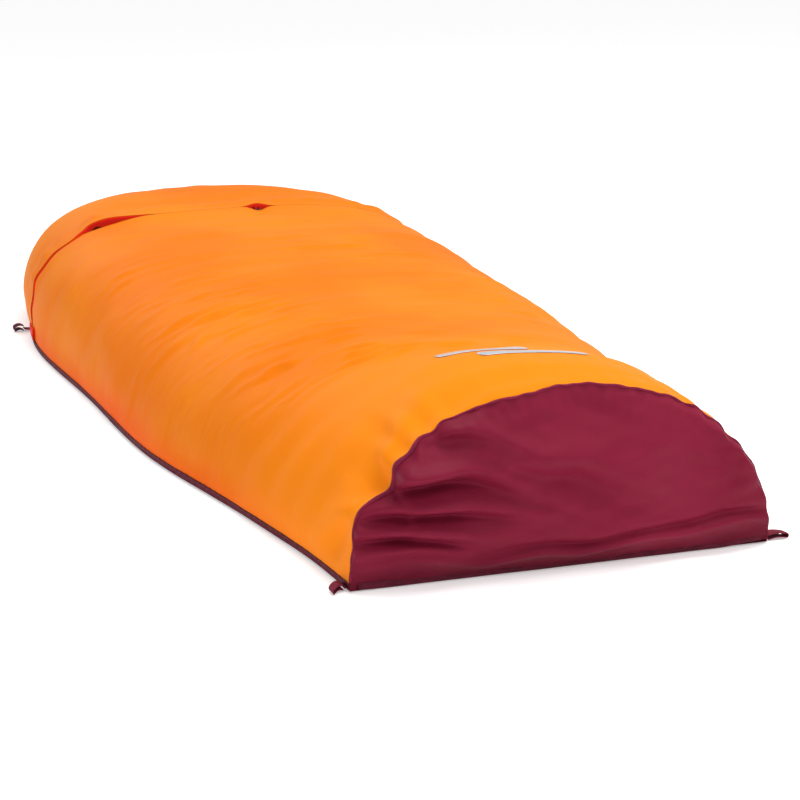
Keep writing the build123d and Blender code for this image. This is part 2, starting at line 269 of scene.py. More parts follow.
# ---- materials ----
class Look:
    """A material on the Principled shader, with short ways to add and join nodes."""

    def __init__(self, name):
        self.material = bpy.data.materials.new(name)
        self.material.use_nodes = True
        self.tree = self.material.node_tree

    def feed(self, sockets, values):
        """Joins an output to each named socket, or sets a number or colour on it."""
        for key, value in values.items():
            socket = sockets[key]
            if isinstance(value, bpy.types.NodeSocket):
                self.tree.links.new(value, socket)
            elif socket.type == "RGBA":
                socket.default_value = (*value, 1)
            else:
                socket.default_value = value

    def shade(self, values):
        self.feed(self.tree.nodes["Principled BSDF"].inputs, values)
        return self.material

    def node(self, kind, output, values, **options):
        node = self.tree.nodes.new("ShaderNode" + kind)
        for option, value in options.items():
            setattr(node, option, value)
        self.feed(node.inputs, values)
        return node.outputs[output]

    def place(self):
        return self.node("TexCoord", "Object", {})

    def axis(self, vector, name):
        return self.node("SeparateXYZ", name, {0: vector})

    def stretched(self, vector, scale):
        return self.node("Mapping", "Vector", {"Vector": vector, "Scale": scale})

    def math(self, kind, *values):
        return self.node("Math", 0, dict(enumerate(values)), operation=kind)

    def mix(self, share, first, second):
        return self.node("Mix", 2, {0: share, 6: first, 7: second}, data_type="RGBA")

    def noise(self, vector, scale, detail=3.0, roughness=0.5):
        values = {"Vector": vector, "Scale": scale, "Detail": detail, "Roughness": roughness}
        return self.node("TexNoise", "Fac", values)

    def ramp(self, value, low, high):
        """Nought at low, one at high, eased at both ends."""
        values = {"Value": value, "From Min": low, "From Max": high}
        return self.node("MapRange", "Result", values, interpolation_type="SMOOTHSTEP")

    def between(self, value, low, high):
        return self.node("MapRange", "Result", {"Value": value, "To Min": low, "To Max": high})

    def weave(self, vector, pitch):
        """Height of a plain weave: threads along and across, crossing over and under."""
        step = 2 * math.pi / pitch
        around = self.math("ADD", self.axis(vector, "X"), self.axis(vector, "Z"))
        warp = self.math("SINE", self.math("MULTIPLY", around, step))
        weft = self.math("SINE", self.math("MULTIPLY", self.axis(vector, "Y"), step))
        return self.math("MULTIPLY", warp, weft)

    def bumps(self, *layers):
        """The normal after a chain of bumps; each layer is (height, strength, distance)."""
        normal = {}
        for height, strength, distance in layers:
            values = {"Height": height, "Strength": strength, "Distance": distance, **normal}
            normal = {"Normal": self.node("Bump", "Normal", values)}
        return normal["Normal"]


def nylon(name, light, dark, low_shade, roughness, heights, foot=None, more=None):
    """Coated nylon: fine weave, soft creases, colour that deepens lower down between two heights as painted
    shade, and painted light towards the foot end when a foot colour is given.
    """
    look = Look(name)
    place = look.place()
    broad = look.noise(place, 3.5, 2.0)
    fine = look.noise(look.stretched(place, (6, 18, 6)), 5.0, 4.0)
    tone = look.math("ADD", broad, look.math("MULTIPLY", fine, 0.35))
    base = look.mix(look.ramp(tone, 0.45, 0.95), dark, light)
    # painted shade: the colour deepens lower down, between the two heights
    height = look.math("ADD", look.axis(place, "Z"), look.math("MULTIPLY", broad, 0.05))
    colour = look.mix(look.ramp(height, heights[1], heights[0]), base, low_shade)
    # painted light: the colour turns lighter and more yellow towards the foot end
    if foot:
        colour = look.mix(look.ramp(look.axis(place, "Y"), -0.50, -0.98), colour, foot)
    creases = look.noise(look.stretched(place, (1.2, 5, 2)), 4.0, 5.0, 0.55)
    values = {
        "Base Color": colour,
        "Roughness": look.between(fine, roughness - 0.06, roughness + 0.08),
        "Specular IOR Level": 0.05,
        "Normal": look.bumps((creases, 0.32, 0.007), (look.weave(place, 0.0011), 0.12, 0.0002)),
    }
    return look.shade({**values, **(more or {})})


def woven(name, first, second, pitch, roughness=0.7, depth=0.0006):
    """Webbing, binding or cord: coarse threads with worn highlights."""
    look = Look(name)
    place = look.place()
    tone = look.noise(place, 90.0, 4.0)
    weave = look.weave(place, pitch)
    mixed = look.math("ADD", tone, look.math("MULTIPLY", weave, 0.18))
    return look.shade(
        {
            "Base Color": look.mix(look.ramp(mixed, 0.3, 0.75), first, second),
            "Roughness": roughness,
            "Specular IOR Level": 0.15,
            "Normal": look.bumps((weave, 0.5, depth), (tone, 0.3, depth)),
        }
    )


def plain(name, colour, roughness, metallic=0.0, grain=400.0, strength=0.15):
    """Moulded plastic or metal with a fine grain and slightly uneven gloss."""
    look = Look(name)
    grains = look.noise(look.place(), grain)
    darker = tuple(c * 0.75 for c in colour)
    return look.shade(
        {
            "Base Color": look.mix(look.ramp(grains, 0.35, 0.65), darker, colour),
            "Roughness": look.between(grains, max(roughness - 0.1, 0.05), roughness + 0.1),
            "Metallic": metallic,
            "Normal": look.bumps((grains, strength, 0.0001)),
        }
    )


# painted light and shade in the orange: the third colour is painted shade, redder low down; the foot colour
# is painted light near the foot end; the faint emission is a painted glow for light coming through the
# canopy, and a stronger painted glow shows on the red inside
ORANGE = nylon(
    "orange_nylon", (0.74, 0.215, 0.010), (0.71, 0.160, 0.004), (0.80, 0.080, 0.003), 0.5, (0.005, 0.09),
    foot=(0.84, 0.230, 0.006),
    more={"Emission Color": (0.80, 0.08, 0.005), "Emission Strength": 0.05, "Specular IOR Level": 0.02},
)
# painted shade: the third colour darkens the maroon lower down, so the floor tray lies all in it
MAROON = nylon(
    "maroon_nylon", (0.215, 0.013, 0.037), (0.170, 0.009, 0.027), (0.085, 0.004, 0.013), 0.46, (0.01, 0.075)
)
# painted light and shade in the red cloth: the strong emission is a painted glow for light coming through
# the cloth, and the third colour is painted shade lower down
GLOWING_RED_CLOTH = nylon(
    "red_lining_painted_glow", (0.66, 0.020, 0.012), (0.56, 0.015, 0.010), (0.34, 0.01, 0.01), 0.55, (0.0, 0.12),
    more={"Emission Color": (0.75, 0.02, 0.01), "Emission Strength": 0.55},
)
BINDING = woven("maroon_binding", (0.075, 0.005, 0.014), (0.13, 0.009, 0.026), 0.0012, 0.6)
PIPING = woven("magenta_piping", (0.17, 0.008, 0.030), (0.27, 0.014, 0.055), 0.0012, 0.6)
WEBBING = woven("maroon_webbing", (0.12, 0.009, 0.022), (0.22, 0.018, 0.05), 0.0016, 0.72)
# painted shade: a darker copy of the maroon webbing, for the head loops that sit in shadow
SHADED_WEBBING = woven("webbing_painted_shade", (0.05, 0.006, 0.022), (0.09, 0.010, 0.035), 0.0016, 0.72)
THREAD = woven("thread", (0.16, 0.012, 0.03), (0.28, 0.03, 0.06), 0.0006, 0.6)
ORANGE_THREAD = woven("orange_thread", (0.72, 0.13, 0.01), (0.92, 0.22, 0.03), 0.0006, 0.6)
CORD = woven("cord_sheath", (0.02, 0.018, 0.02), (0.06, 0.055, 0.06), 0.0009, 0.75)
TAPE = plain("seam_tape", (0.72, 0.55, 0.42), 0.35, 0.0, 60.0, 0.1)
LOCK = plain("lock_plastic", (0.022, 0.02, 0.022), 0.45)
STEEL = plain("spring_steel", (0.6, 0.6, 0.62), 0.25, 1.0)
GROMMET = plain("grommet_metal", (0.25, 0.25, 0.27), 0.35, 1.0)
REFLECTIVE = plain("reflective_film", (0.52, 0.56, 0.60), 0.28, 0.35, 900.0, 0.25)
LABEL = woven("label_cloth", (0.72, 0.71, 0.68), (0.82, 0.81, 0.78), 0.0007, 0.8)


# ---- lines that the panels share ----
COLUMNS = 141
SPACING = 0.0085


def free_of_sides(reach):
    """Nought at the two side seams and one past a share of the width, for each column."""
    columns = np.minimum(np.arange(COLUMNS), np.arange(COLUMNS)[::-1]) / COLUMNS
    return smooth_step(columns, 0.0, reach)[None]


def foot_seam():
    """The arch where canopy and foot panel meet: a tuck low on the left, small ripples over the top."""
    line = arch(0.0, COLUMNS)
    low, left = line[:, 2], line[:, 0] < 0
    turn = np.arctan2(line[:, 2], line[:, 0])
    inward = np.stack([-np.cos(turn), np.zeros(COLUMNS), -np.sin(turn)], -1)
    tuck = 0.020 * bump(low, 0.134, 0.015) * left + 0.004 * bump(low, 0.135, 0.05) * ~left
    out = (0.007 * bump(low, 0.095, 0.028) + 0.005 * bump(low, 0.19, 0.03)) * left
    ripple = 0.0009 * np.sin(turn * 31 + 1.2 + 3 * np.sin(turn * 5)) * smooth_step(low, 0.03, 0.09)
    ripple += 0.0022 * np.sin(turn * 44) * bump(low, 0.17, 0.05)
    line += inward * (tuck - out + ripple)[:, None]
    line[:, 1] += 0.006 * np.sin(turn * 9 + 0.7) * smooth_step(low, 0.05, 0.12)
    line[:, 1] += 0.008 * bump(low, 0.128, 0.018) * left
    return line


def gap_at(x, z):
    """How far the mouth gapes, from its drawn-shut line, at each place along it."""
    lock = 0.006 * bump(x, LOCK_X, 0.016)
    left_end = 0.0075 * smooth_step(-x, 0.34, 0.385) * smooth_step(z, 0.02, 0.06)
    wedge = np.clip((-0.150 - x) / 0.135, 0, 1) ** 1.2 * smooth_step(x, -0.292, -0.284)
    left_fold = 0.0085 * wedge * smooth_step(z, 0.10, 0.18)
    corner = 0.005 * bump(x, -0.35, 0.018) * smooth_step(z, 0.10, 0.15)
    right = 0.004 * bump(x, 0.268, 0.02)
    return 0.0012 + lock + left_end + left_fold + corner + right


def lip_line(side):
    """Edge of the canopy (side -1) or of the hood (side +1) along the mouth."""
    middle = (CANOPY_LIP + HOOD_LIP) / 2
    line = arch(middle, COLUMNS)
    gap = gap_at(line[:, 0], line[:, 2])
    fade = smooth_step(line[:, 2], 0.012, 0.035)
    wander = 0.0035 * np.sin(line[:, 0] * 23 + 0.6) + 0.002 * np.sin(line[:, 0] * 61)
    kinks = 0.0070 * np.sin(line[:, 2] * 55 + 1.0) + 0.0050 * np.sin(line[:, 2] * 121)
    wander = wander + kinks * smooth_step(-line[:, 0], 0.27, 0.33)
    own = (CANOPY_LIP if side < 0 else HOOD_LIP) - HALF
    line[:, 1] = own * (1 - fade) + (middle - HALF + wander * fade + side * gap) * fade
    dip = 0.008 * bump(line[:, 0], LOCK_X, 0.015) if side < 0 else 0.0
    rise = 0.005 * bump(line[:, 0], LOCK_X, 0.018) if side > 0 else 0.0
    fold = 0.009 * bump(line[:, 0], -0.255, 0.055) * smooth_step(line[:, 2], 0.1, 0.18)
    line[:, 2] += (rise - dip + (fold if side > 0 else -0.3 * fold)) * fade
    return line


SEAM = foot_seam()


# ---- canopy ----
def canopy_rows():
    count = int(round(CANOPY_LIP / SPACING))
    alongs = np.linspace(0, CANOPY_LIP, count)
    grid = shell_grid(alongs, COLUMNS)
    fade = np.exp(-((alongs / 0.10) ** 2))
    grid += (SEAM - grid[0])[None] * fade[:, None, None]
    lips = lip_line(-1)
    near = np.exp(-(((CANOPY_LIP - alongs) / 0.05) ** 2))
    grid += (lips - grid[-1])[None] * near[:, None, None]
    return alongs, grid


def outward(grid):
    """Unit normal at each point of a grid of rows from foot to head, columns from right to left."""
    along = np.gradient(grid, axis=0)
    across = np.gradient(grid, axis=1)
    n = np.cross(across, along)
    n /= np.maximum(np.linalg.norm(n, axis=-1, keepdims=True), 1e-9)
    if n[grid.shape[0] // 2, grid.shape[1] // 2, 2] < 0:
        n = -n
    return n


WRINKLED = (
    # strength, then x and its spread, then the distance from the foot and its spread
    (1.0, -0.24, 0.10, 0.80, 0.20),
    (1.0, -0.16, 0.12, 0.46, 0.12),
    (0.6, -0.30, 0.06, 1.12, 0.12),
    (0.7, 0.02, 0.16, 0.33, 0.08),
    (0.5, 0.10, 0.10, 1.15, 0.12),
    (0.5, 0.26, 0.07, 0.75, 0.25),
)


def canopy_folds(grid):
    """The folds that pressing and packing leave in the canopy, as a lift along its normal."""
    x, y, z = grid[..., 0], grid[..., 1] + HALF, grid[..., 2]
    height = np.zeros(x.shape)
    wander = waves(grid, 0.30, 3) * 0.012
    # fine transverse wrinkles in patches over the left shoulder and the top
    warped = y + wander + 0.05 * x + 0.007 * waves(grid, 0.09, 31)
    ridges = (0.5 + 0.5 * np.sin(warped * 2 * math.pi / 0.040)) ** 2 - 0.35
    patches = sum(
        share * bump(x, at_x, wide) * bump(y, at_y, long) for share, at_x, wide, at_y, long in WRINKLED
    )
    height += 0.0120 * ridges * patches * np.clip(0.35 + 0.9 * waves(grid, 0.10, 5), 0, 1)
    # broad soft rolls
    height += 0.0040 * waves(grid, 0.34, 11, (1, 0.7, 1))
    height += 0.0018 * waves(grid, 0.12, 12, (0.5, 1.4, 1.0))
    # soft upright folds down the left side, and gathers along the floor seam
    side = (y + 0.35 * z) * 2 * math.pi
    left = x < 0
    upright = np.sin(side / 0.085 + 2.5 * waves(grid, 0.5, 13))
    height += 0.0020 * upright * bump(z, 0.10, 0.06) * bump(y, 0.26, 0.14) * left
    height += 0.0010 * waves(grid, 0.22, 14) * bump(z, 0.08, 0.07)
    gathers = np.sin(side / 0.019 + 3 * waves(grid, 0.2, 17))
    height += 0.0009 * gathers * smooth_step(z, 0.07, 0.014) * (0.55 + 0.45 * waves(grid, 0.3, 19))
    height -= 0.0015 * smooth_step(z, 0.20, 0.03)
    # creases that fan out of the tuck in the foot seam
    above = z - 0.125
    reach = np.hypot(above, y)
    fan = np.sin(np.arctan2(above, y + 0.01) * 9.0 + 0.4)
    height += 0.0042 * fan * bump(reach, 0.10, 0.075) * left * smooth_step(z, 0.0, 0.05)
    # one long crease and dents across the top
    crease = y - 1.235 - 0.15 * (x + 0.05)
    height -= 0.0022 * bump(crease, 0, 0.010) * bump(x, 0.02, 0.06)
    crease = y - 0.30 + 0.35 * x
    height -= 0.0030 * bump(crease, 0, 0.016) * bump(x, -0.20, 0.10)
    return height


def build_canopy():
    alongs, grid = canopy_rows()
    rows = len(alongs)
    ends = smooth_step(alongs, 0.0, 0.03) * smooth_step(alongs[-1] - alongs, 0.0, 0.03)
    free = ends[:, None] * free_of_sides(0.03)  # nought where it is sewn down
    piece = make_sheet("canopy", grid, ORANGE)
    hold = np.where(free < 0.5, 1.0, 0.45)
    settle(piece, hold.ravel(), (0.004, 0.022, 0.01), 2.5, 26, 0.007)
    grid = positions(piece).reshape(rows, COLUMNS, 3)
    lift = canopy_folds(grid) * (0.15 + 0.85 * free)
    lift[0] = lift[-1] = 0
    grid = grid + outward(grid) * lift[..., None]
    grid[..., 2] = np.maximum(grid[..., 2], SEAM_Z)
    set_positions(piece, grid.reshape(-1, 3))
    subdivide(piece)
    return piece, grid


canopy, canopy_grid = build_canopy()


# ---- hood ----
def build_hood():
    count = int(round((LENGTH - HOOD_LIP) / SPACING * 1.25))
    spread = np.linspace(0, 1, count)
    alongs = HOOD_LIP + (LENGTH - HOOD_LIP) * (1 - (1 - spread) ** 1.6)
    grid = shell_grid(alongs, COLUMNS)
    lips = lip_line(1)
    near = np.exp(-(((alongs - HOOD_LIP) / 0.05) ** 2))
    grid += (lips - grid[0])[None] * near[:, None, None]
    end = grid[-1]
    # the closed end of the hood: rows shrink towards the middle of the last section
    centre = np.array([0, end[:, 1].mean() + 0.004, 0.035])
    caps = []
    for share in (0.85, 0.65, 0.42, 0.2, 0.04):
        ring = centre + (end - centre) * share
        ring[:, 1] = end[:, 1] + 0.006 * (1 - share**2)
        ring[:, 2] = np.where(end[:, 2] <= RIM + 1e-4, RIM, ring[:, 2])
        caps.append(ring)
    grid = np.concatenate([grid, np.stack(caps)])
    rows = len(grid)
    piece = make_sheet("hood", grid, ORANGE)
    run = np.concatenate([alongs, LENGTH + np.linspace(0.01, 0.05, len(caps))])
    free = smooth_step(run - HOOD_LIP, 0.0, 0.03)[:, None] * free_of_sides(0.03)
    free[-6:] = 0
    hold = np.where(free < 0.5, 1.0, 0.45)
    settle(piece, hold.ravel(), (0.006, 0.012, 0.012), 2.5, 22, 0.006)
    grid = positions(piece).reshape(rows, COLUMNS, 3)
    x, y, z = grid[..., 0], grid[..., 1] + HALF, grid[..., 2]
    lift = 0.0035 * waves(grid, 0.25, 21) + 0.001 * waves(grid, 0.08, 22, (0.5, 1.5, 0.5))
    # gathers that run back from the drawn-up lip, and a roll just behind it
    girth = np.arctan2(z - 0.05, x)
    gathers = np.sin(girth * 46 + 4 * waves(grid, 0.2, 23))
    back = y - HOOD_LIP
    lift += 0.0017 * gathers * bump(back, 0.035, 0.045) * smooth_step(z, 0.03, 0.12)
    lift += 0.0055 * bump(back, 0.040, 0.022) * smooth_step(z, 0.05, 0.18)
    lift -= 0.0030 * bump(back, 0.100, 0.035) * smooth_step(z, 0.05, 0.18)
    lift += 0.0030 * np.sin(girth * 17 + 1) * bump(y, 1.98, 0.09) * smooth_step(z, 0.02, 0.08)
    lift += 0.006 * bump(x, -0.262, 0.016) * bump(back, 0.02, 0.05)
    grid = grid + outward(grid) * (lift * free)[..., None]
    grid[..., 2] = np.maximum(grid[..., 2], SEAM_Z)
    set_positions(piece, grid.reshape(-1, 3))
    subdivide(piece)
    return piece, grid[: len(alongs)]


hood, hood_grid = build_hood()


# ---- foot panel ----
FOLD_DEPTH = 2.6  # how strongly the folds below stand out
FOOT_FOLDS = (
    # height at the left edge, rise, bend, width, lift (hollows below zero), reach, middle
    (0.150, 0.10, -0.75, 0.011, 0.0085, 0.12, -0.20),
    (0.128, 0.12, -0.90, 0.009, -0.0080, 0.12, -0.20),
    (0.112, -0.05, -0.25, 0.009, 0.0070, 0.10, -0.17),
    (0.094, 0.02, -0.30, 0.008, -0.0070, 0.10, -0.18),
    (0.080, -0.10, 0.10, 0.008, 0.0055, 0.09, -0.20),
    (0.064, -0.12, 0.15, 0.008, -0.0060, 0.11, -0.21),
    (0.050, -0.05, 0.02, 0.008, 0.0035, 0.13, -0.20),
    (0.210, 0.02, -0.55, 0.016, 0.0050, 0.09, -0.16),
    (0.188, 0.08, -0.65, 0.012, -0.0050, 0.10, -0.16),
    (0.165, 0.20, -0.75, 0.020, 0.0060, 0.11, -0.02),
    (0.135, 0.22, -0.85, 0.018, -0.0060, 0.12, -0.02),
    (0.040, -0.012, 0.06, 0.006, -0.0050, 0.26, 0.05),
    (0.028, -0.006, 0.05, 0.007, 0.0035, 0.26, 0.05),
)


def foot_folds(x, z):
    """Lift of the foot panel and of the gathers under its seam.

    Big soft folds sweep in from the left edge, and a long crease runs low across the panel.
    """
    d = x + 0.30
    height = 0.030 * (1 - (x / 0.31) ** 2).clip(0) ** 0.6 * smooth_step(z, 0.0, 0.05)
    height *= smooth_step(0.262 - z, 0.0, 0.12)
    point = np.stack([x, np.zeros_like(x), z], -1)
    drift = 0.010 * waves(point, 0.22, 31)

    for start, rise, bend, width, depth, reach, middle in FOOT_FOLDS:
        line = start + rise * d + bend * d * d + drift
        height += FOLD_DEPTH * depth * bump(z, line, width) * bump(x, middle, reach)
    # faint slanting creases on the right
    slant = (x - 0.10) + 0.9 * (z - 0.12)
    height += 0.0030 * bump(slant, 0, 0.018) * bump(z, 0.12, 0.06)
    slant = (x - 0.205) + 0.7 * (z - 0.15)
    height -= 0.0035 * bump(slant, 0, 0.014) * bump(z, 0.14, 0.05)
    slant = (x - 0.24) + 0.9 * (z - 0.15)
    height += 0.0040 * bump(slant, 0, 0.010) * bump(z, 0.15, 0.035)
    height += 0.0016 * waves(point, 0.07, 33) * bump(x, 0.22, 0.08) * bump(z, 0.17, 0.05)
    height += 0.0012 * waves(point, 0.05, 35, (0.7, 1, 1.6))
    # small gathers under the arch seam
    turn = np.arctan2(z, x)
    return height, np.sin(turn * 85 + 3 * waves(point, 0.1, 37))


def build_foot():
    rows = 54
    base_x = np.linspace(SEAM[0, 0], SEAM[-1, 0], COLUMNS)
    bottom = np.stack([base_x, np.full(COLUMNS, -HALF), np.full(COLUMNS, 0.0008)], -1)
    # the right corner is drawn up a little and back
    corner = smooth_step(base_x, 0.22, 0.30)
    bottom[:, 2] += 0.004 * corner
    up = np.linspace(0, 1, rows)[:, None, None]
    grid = bottom[None] * (1 - up) + SEAM[None] * up
    piece = make_sheet("foot_end", grid, MAROON)
    share = up[:, :, 0] * np.ones((1, COLUMNS))
    free = smooth_step(share, 0, 0.04) * smooth_step(1 - share, 0, 0.05) * free_of_sides(0.02)
    height, gathers = foot_folds(grid[..., 0], grid[..., 2])
    under_seam = smooth_step(1 - share, 0.0, 0.03) * smooth_step(1 - share, 0.16, 0.04)
    grid[..., 1] -= height * free + 0.0012 * gathers * under_seam * free
    set_positions(piece, grid.reshape(-1, 3))
    hold = np.where(free < 0.35, 1.0, 0.55)
    settle(piece, hold.ravel(), (0.006, 0.0, 0.03), 2.0, 24, 0.006, 0.25)
    grid = positions(piece).reshape(rows, COLUMNS, 3)
    grid[..., 1] = np.minimum(grid[..., 1], -HALF + 0.014)
    grid[..., 2] = np.maximum(grid[..., 2], 0.0006)
    set_positions(piece, grid.reshape(-1, 3))
    subdivide(piece)
    return piece, grid


foot_end, foot_grid = build_foot()


# ---- floor tray ----
def floor_outline():
    """Half outline of the floor from the foot to the head at a height of the rim, right side."""
    alongs = np.linspace(0, 1, 260)
    alongs = LENGTH * (1 - (1 - alongs) ** 1.5)
    edge = np.array([arch(a, 3)[0] for a in alongs])
    return alongs, edge


def build_floor():
    alongs, edge = floor_outline()
    across = np.linspace(1, -1, 61)
    pucker = 0.0012 * np.sin(alongs * 2 * math.pi / 0.021 + 3 * np.sin(alongs * 11))
    rows = []
    for (half, y, _), puff in zip(edge, pucker):
        flat = np.stack([half * across, np.full(61, y), np.full(61, 0.001)], -1)
        right = np.array([(half + puff, y, z) for z in (RIM, 0.008, 0.004)])
        rows.append(np.concatenate([right, flat, right[::-1] * (-1, 1, 1)]))
    grid = np.stack(rows)
    flat_part = grid[:, 3:-3]
    flat_part[..., 2] += 0.0004 * waves(flat_part, 0.2, 41)
    piece = make_sheet("floor", grid, MAROON)
    return piece


floor = build_floor()


# ---- tubes, strips and stitches ----
def tube(name, line, radius, material, sides=10, closed=False):
    """A round tube along a line; the radius is one number or one for each point."""
    line = np.asarray(line, float)
    n = len(line)
    tangent = np.gradient(line, axis=0)
    if closed:
        tangent = np.roll(line, -1, 0) - np.roll(line, 1, 0)
    tangent /= np.maximum(np.linalg.norm(tangent, axis=1, keepdims=True), 1e-9)
    up = np.array([0.0, 0.0, 1.0])
    if abs(tangent[0] @ up) > 0.9:
        up = np.array([0.0, 1.0, 0.0])
    rings = []
    normal = np.cross(tangent[0], up)
    for i in range(n):
        normal = normal - tangent[i] * (normal @ tangent[i])
        normal /= max(np.linalg.norm(normal), 1e-9)
        side = np.cross(tangent[i], normal)
        r = radius if np.isscalar(radius) else radius[i]
        turn = np.linspace(0, 2 * math.pi, sides, endpoint=False)
        rings.append(line[i] + r * (np.cos(turn)[:, None] * normal + np.sin(turn)[:, None] * side))
    vertices = np.concatenate(rings)
    faces = grid_faces(n, sides, wrap_rows=closed, wrap_columns=True)
    if not closed:
        faces.append(tuple(range(sides))[::-1])
        faces.append(tuple(range((n - 1) * sides, n * sides)))
    return make_object(name, vertices, faces, material)


def resample(line, step):
    """The same line with evenly spaced points, about a step apart."""
    line = np.asarray(line, float)
    run = np.concatenate(([0], np.cumsum(np.linalg.norm(np.diff(line, axis=0), axis=1))))
    count = max(int(run[-1] / step), 2)
    even = np.linspace(0, run[-1], count)
    return np.stack([np.interp(even, run, line[:, k]) for k in range(3)], -1)


def surface_of(piece):
    graph = bpy.context.evaluated_depsgraph_get()
    graph.update()
    return BVHTree.FromObject(piece, graph)


def cling(tree, points, lift, upward=None):
    """Points moved onto the surface, lifted along its normal on the outside."""
    out = []
    for p in points:
        place, normal, _, _ = tree.find_nearest(Vector(p))
        away = upward if upward is not None else Vector(place) - Vector((0, place.y, 0.06))
        if normal.dot(away) < 0:
            normal = -normal
        out.append(tuple(place + normal * lift))
    return np.array(out)


# one stitch: four rings of six points and its two ends
STITCH_FACES = [*grid_faces(4, 6, wrap_columns=True), tuple(range(6))[::-1], tuple(range(18, 24))]


def stitches(name, line, step, length, radius, material):
    """A row of separate stitches, each a short rounded bar that dips at its ends."""
    line = resample(line, step)
    vertices, faces = [], []
    for i in range(len(line) - 1):
        a, b = line[i], line[i + 1]
        direction = b - a
        far = np.linalg.norm(direction)
        if far < 1e-6:
            continue
        direction = direction / far
        side = np.cross(direction, (0.13, 0.21, 0.97))
        side /= np.linalg.norm(side)
        over = np.cross(side, direction)
        middle = (a + b) / 2
        base = len(vertices)
        for share, size in ((-0.5, 0.35), (-0.25, 0.95), (0.25, 0.95), (0.5, 0.35)):
            for k in range(6):
                turn = k * math.pi / 3
                ring = (math.cos(turn) * side + math.sin(turn) * over) * radius * size
                vertices.append(middle + direction * length * share + ring)
        faces += [tuple(base + k for k in face) for face in STITCH_FACES]
    return make_object(name, vertices, faces, material)


CLOTH = 0.0009
for panel in (canopy, hood, foot_end, floor):
    thicken(panel, CLOTH, -1.0)
canopy_skin, hood_skin, foot_skin = surface_of(canopy), surface_of(hood), surface_of(foot_end)


# ---- lips: a facing turned in behind each edge ----
def row_at(grid, alongs_back):
    """A line over the panel some distance in from its edge row; the distance is in grid rows."""
    low = int(math.floor(alongs_back))
    share = alongs_back - low
    return grid[low] * (1 - share) + grid[low + 1] * share


def facing(name, grid, normal, depth, spacing, thickness, slack):
    """A hem turned in behind the edge; slack lets it hang away from the panel."""
    turned = (
        (0.0, 0.0006), (0.0004, 0.0018), (0.003, thickness),
        (0.3 * depth, thickness + slack * 0.2), (0.6 * depth, thickness + slack * 0.55),
        (depth, thickness + slack),
    )
    rows = []
    for far, sink in turned:
        place = row_at(grid, far / spacing)
        lean = row_at(normal, far / spacing)
        rows.append(place - lean * sink)
    band = np.stack(rows)
    band[..., 2] = np.maximum(band[..., 2], 0.0135)
    piece = make_sheet(name, band, GLOWING_RED_CLOTH)
    subdivide(piece)
    thicken(piece, 0.0008, 1.0)
    return piece


hem_depth = 0.024
canopy_back, canopy_out = canopy_grid[::-1], outward(canopy_grid)[::-1]
hood_out = outward(hood_grid)
canopy_step = CANOPY_LIP / (len(canopy_grid) - 1)
hood_step = float(np.linalg.norm(hood_grid[4, COLUMNS // 2] - hood_grid[0, COLUMNS // 2])) / 4
canopy_hem = facing("canopy_lip_facing", canopy_back, canopy_out, hem_depth, canopy_step, 0.0032, 0.0)
hood_hem = facing("hood_lip_facing", hood_grid, hood_out, hem_depth, hood_step, 0.0042, 0.0150)


def lip_stitch(name, grid, normal, back, spacing):
    line = row_at(grid, back / spacing) + row_at(normal, back / spacing) * 0.0006
    return stitches(name, line[2:-2], 0.0042, 0.0031, 0.00042, ORANGE_THREAD)


canopy_stitch = lip_stitch("canopy_lip_stitching", canopy_back, canopy_out, 0.019, canopy_step)
hood_stitch = lip_stitch("hood_lip_stitching", hood_grid, hood_out, 0.019, hood_step)

# ---- piping over the foot seam ----
seam_line = resample(SEAM, 0.004)
seam_turn = np.arctan2(seam_line[:, 2], seam_line[:, 0])
thick_left = smooth_step(-seam_line[:, 0], 0.19, 0.235) * smooth_step(seam_line[:, 2], 0.10, 0.125)
piping_radius = 0.0017 + 0.0022 * thick_left + 0.0003 * np.sin(seam_turn * 70)
piping_line = seam_line.copy()
piping_line[:, 1] -= 0.0012 + 0.0010 * np.sin(seam_turn * 60 + 1)
piping_line[:, 2] = np.maximum(piping_line[:, 2], 0.0135)
foot_piping = tube("foot_arch_piping", piping_line, piping_radius, PIPING, 12)

inner = seam_line * np.array([0.972, 1, 0.966])
inner = cling(foot_skin, inner[4:-4], 0.0004, Vector((0, -1, 0)))
foot_stitch = stitches("foot_arch_stitching", inner, 0.0042, 0.0031, 0.0004, THREAD)

# ---- binding along the floor's edge: left side, round the head, right side ----
floor_alongs, floor_edge = floor_outline()
right_edge = np.stack([floor_edge[:, 0] + 0.0002, floor_edge[:, 1], np.full(len(floor_edge), BINDING_Z)], -1)
left_edge = (right_edge * np.array([-1, 1, 1]))[::-1]
head_turn = np.linspace(0, math.pi, 24)[1:-1]
head_x = right_edge[-1, 0]
head_line = np.stack(
    [head_x * np.cos(head_turn), right_edge[-1, 1] + 0.0008 * np.sin(head_turn), np.full(22, BINDING_Z)], -1
)
edge_line = resample(np.concatenate([right_edge, head_line, left_edge]), 0.0035)
edge_run = np.arange(len(edge_line)) * 0.0035
edge_line[:, 2] += 0.0006 * np.sin(edge_run * 2 * math.pi / 0.021 + 2 * np.sin(edge_run * 9))
edge_radius = 0.0021 + 0.0004 * np.sin(edge_run * 2 * math.pi / 0.017 + np.sin(edge_run * 14))
edge_binding = tube("floor_edge_piping", edge_line, edge_radius, BINDING, 10)

lower = canopy_grid[2:-2]
floor_stitches = []
for side, column in (("right", 1), ("left", -2)):
    line = cling(canopy_skin, resample(lower[:, column], 0.004), 0.0004)
    sewn = stitches(f"floor_seam_stitching_{side}", line, 0.0044, 0.0031, 0.0004, ORANGE_THREAD)
    floor_stitches.append(sewn)

